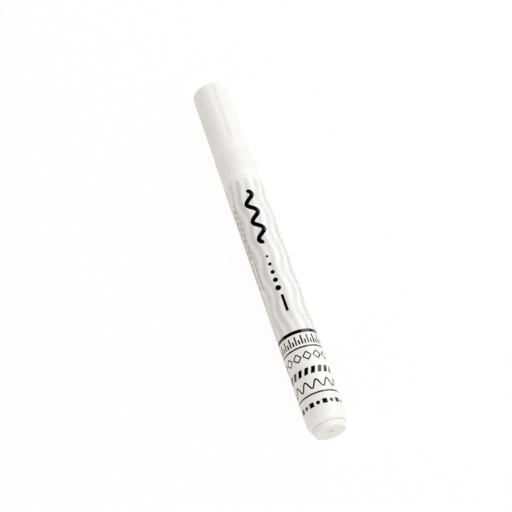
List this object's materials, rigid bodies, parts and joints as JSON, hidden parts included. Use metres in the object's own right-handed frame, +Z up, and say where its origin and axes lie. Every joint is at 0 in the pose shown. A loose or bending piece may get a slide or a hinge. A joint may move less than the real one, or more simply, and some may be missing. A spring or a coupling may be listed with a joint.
{
  "type": "paint marker",
  "caption": "Slim white valve-action paint marker lying on its side: printed barrel, collar, grooved push-on cap, pressed tail plug, and a sprung nib and valve inside.",
  "frame": {"origin": "on the surface that the marker lies on, below the middle of its length", "axes": "+X along the marker's axis from the tail to the cap, +Z up, +Y to the left seen from the tail"},
  "size_m": [0.1416, 0.0136, 0.0136],
  "materials": {
    "barrel_plastic": "white moulded plastic, glossy, with pale grey wavy stripes and black marks printed on it",
    "trim_plastic": "white moulded plastic, semi-gloss",
    "cap_plastic": "white moulded plastic, satin",
    "liner_plastic": "natural milky plastic, satin",
    "nib_fibre": "pressed fibre, wetted by white paint at its point",
    "valve_plastic": "moulded engineering plastic, satin",
    "seal_rubber": "black soft rubber",
    "spring_steel": "drawn stainless wire",
    "ball_steel": "polished stainless steel"
  },
  "bodies": {
    "holder": {"barrel": "barrel_plastic", "end_plug": "trim_plastic", "front_section": "trim_plastic", "valve_body": "valve_plastic", "valve_spring": "spring_steel", "valve_cage": "valve_plastic"},
    "pump": {"nib": "nib_fibre", "valve_stem": "valve_plastic", "valve_seal": "seal_rubber"},
    "cap": {"cap_shell": "cap_plastic", "cap_liner": "liner_plastic"},
    "ball": {"mixing_ball": "ball_steel"}
  },
  "joints": [
    {"name": "cap_pull", "type": "slide", "parent": "holder", "child": "cap", "axis": [1, 0, 0], "range_m": [0, 0.04]},
    {"name": "nib_press", "type": "slide", "parent": "holder", "child": "pump", "axis": [-1, 0, 0], "range_m": [0, 0.002], "stiffness_N_per_m": 500, "springref_m": -0.003, "deforming": ["valve_spring"]},
    {"name": "ball_run", "type": "slide", "parent": "holder", "child": "ball", "axis": [1, 0, 0], "range_m": [-0.0277, 0.0398]}
  ]
}
